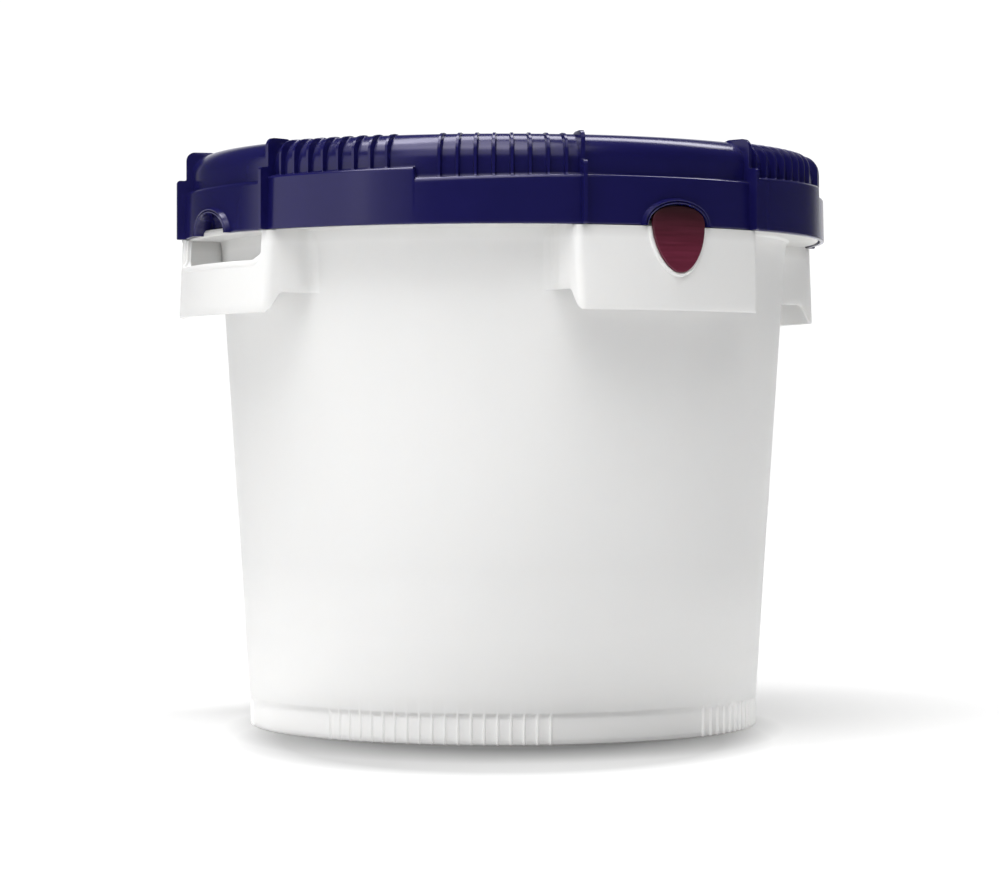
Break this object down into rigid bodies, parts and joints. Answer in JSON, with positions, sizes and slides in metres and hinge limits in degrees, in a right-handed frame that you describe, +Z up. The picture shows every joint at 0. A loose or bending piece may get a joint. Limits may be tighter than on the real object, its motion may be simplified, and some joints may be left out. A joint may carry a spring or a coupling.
{
  "type": "plastic open head drum",
  "caption": "Tapered plastic drum with a press-on ribbed lid, hand grips, sealing brackets and pull-out tamper seals; holds bulk powders or liquids.",
  "frame": {"origin": "centre of the foot's underside, on the drum's axis", "axes": "+Z up the drum's axis, -Y towards the front seal, +X towards the right hand grip"},
  "size_m": [0.398, 0.402, 0.3442],
  "materials": {
    "drum_plastic": "moulded white polyethylene, satin",
    "lid_plastic": "moulded dark violet-blue polypropylene, semi-gloss",
    "seal_plastic": "moulded dark red plastic, semi-gloss",
    "foam": "closed-cell foam"
  },
  "bodies": {
    "drum": {"base_ring": "drum_plastic", "drum_floor": "drum_plastic", "drum_wall": "drum_plastic", "neck_flange": "drum_plastic", "seal_bracket_front": "drum_plastic", "grip_bracket_right": "drum_plastic", "seal_bracket_rear": "drum_plastic", "grip_bracket_left": "drum_plastic"},
    "lid": {"lid_ring": "lid_plastic", "lid_panel": "lid_plastic", "lid_gasket": "foam"},
    "front_seal": {"seal_front": "seal_plastic"},
    "rear_seal": {"seal_rear": "seal_plastic"}
  },
  "joints": [
    {"name": "lid_lift", "type": "slide", "parent": "drum", "child": "lid", "axis": [0, 0, 1], "range_m": [0, 0.12]},
    {"name": "seal_front_pull", "type": "slide", "parent": "drum", "child": "front_seal", "axis": [0, -1, 0], "range_m": [0, 0.04]},
    {"name": "seal_rear_pull", "type": "slide", "parent": "drum", "child": "rear_seal", "axis": [0, 1, 0], "range_m": [0, 0.04]}
  ]
}
